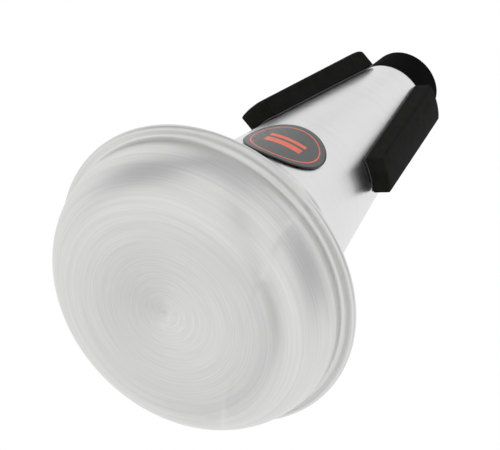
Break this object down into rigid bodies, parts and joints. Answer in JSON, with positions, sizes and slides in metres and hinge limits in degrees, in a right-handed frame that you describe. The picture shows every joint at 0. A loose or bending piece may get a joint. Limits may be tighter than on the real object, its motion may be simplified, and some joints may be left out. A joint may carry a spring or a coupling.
{
  "type": "piccolo trumpet straight mute",
  "caption": "Straight mute for a piccolo trumpet: a hollow spun aluminium cone with a closed cap, foam strips that wedge in the bell, and an open ring at the narrow end.",
  "frame": {"origin": "centre of the cap's flat front, which the mute stands on", "axes": "+Z along the mute's axis from the cap to the narrow end; -Y is the side of the label, between two strips"},
  "size_m": [0.078, 0.078, 0.1254],
  "materials": {
    "cone_body": "spun satin",
    "bottom_cap": "brushed in rings",
    "nose_ring": "matte",
    "cushion": "cut foam",
    "adhesive": "tacky film",
    "label": "satin vinyl"
  },
  "bodies": {
    "root": {"cone_body": "cone_body", "bottom_cap": "bottom_cap", "nose_ring": "nose_ring", "cushion_1": "cushion", "cushion_2": "cushion", "cushion_3": "cushion", "adhesive_1": "adhesive", "adhesive_2": "adhesive", "adhesive_3": "adhesive", "label": "label"}
  },
  "joints": []
}
